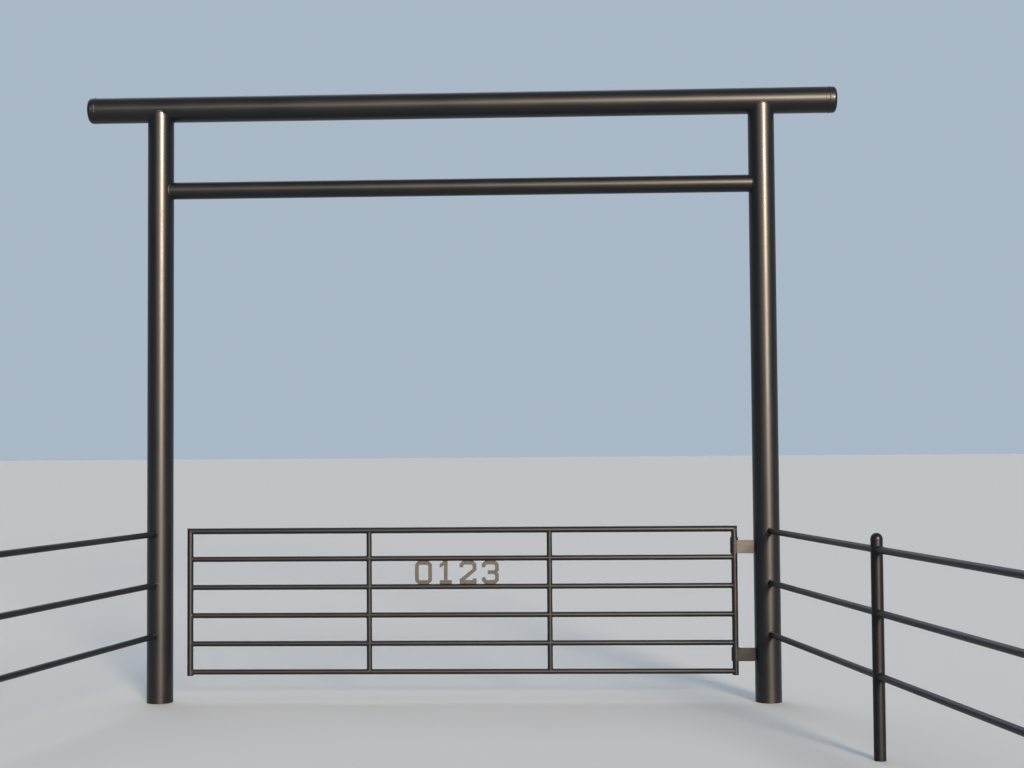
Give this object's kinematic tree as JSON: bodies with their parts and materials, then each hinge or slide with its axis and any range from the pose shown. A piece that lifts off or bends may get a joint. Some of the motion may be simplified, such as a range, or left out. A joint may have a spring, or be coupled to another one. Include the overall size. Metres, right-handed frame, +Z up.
{
  "type": "ranch gateway with swing gate and fence wings",
  "caption": "Tall welded pipe gateway: capped header on two posts, lower beam, railed swing gate on the hinge post, and pipe fence wings flaring to the road.",
  "frame": {"origin": "centre of the hinge post's foot at ground level", "axes": "+X along the closed gate away from the latch post, -Y towards the road side and the fence wings' ends, +Z up"},
  "size_m": [7.142, 6.1524, 5.1331],
  "materials": {
    "painted_pipe": "satin charcoal enamel",
    "painted_plate": "satin dark grey enamel",
    "bare_plate": "bare flat bar, dull",
    "cut_steel": "bare flat-cut plate, dull"
  },
  "bodies": {
    "root": {"header_pipe": "painted_pipe", "header_caps": "painted_pipe", "hinge_post": "painted_pipe", "latch_post": "painted_pipe", "lower_beam": "painted_pipe", "upper_hinge_sleeve": "painted_pipe", "upper_hinge_plate": "bare_plate", "lower_hinge_sleeve": "painted_pipe", "lower_hinge_plate": "painted_plate", "right_fence_post_1": "painted_pipe", "right_fence_post_2": "painted_pipe", "right_fence_caps": "painted_pipe", "right_top_rail_1": "painted_pipe", "right_middle_rail_1": "painted_pipe", "right_bottom_rail_1": "painted_pipe", "right_top_rail_2": "painted_pipe", "right_middle_rail_2": "painted_pipe", "right_bottom_rail_2": "painted_pipe", "left_fence_post_1": "painted_pipe", "left_fence_post_2": "painted_pipe", "left_fence_caps": "painted_pipe", "left_top_rail_1": "painted_pipe", "left_middle_rail_1": "painted_pipe", "left_bottom_rail_1": "painted_pipe", "left_top_rail_2": "painted_pipe", "left_middle_rail_2": "painted_pipe", "left_bottom_rail_2": "painted_pipe"},
    "gate": {"gate_hinge_stile": "painted_pipe", "gate_latch_stile": "painted_pipe", "gate_stile_caps": "painted_pipe", "gate_thrust_ring": "painted_pipe", "gate_rail_1": "painted_pipe", "gate_rail_2": "painted_pipe", "gate_rail_3": "painted_pipe", "gate_rail_4": "painted_pipe", "gate_rail_5": "painted_pipe", "gate_rail_6": "painted_pipe", "gate_upright_1": "painted_pipe", "gate_upright_2": "painted_pipe"}
  },
  "joints": [
    {"name": "gate_swing", "type": "hinge", "parent": "root", "child": "gate", "pos_m": [-0.269, 0, 0.85], "axis": [0, 0, -1], "range_deg": [-100, 140]}
  ]
}
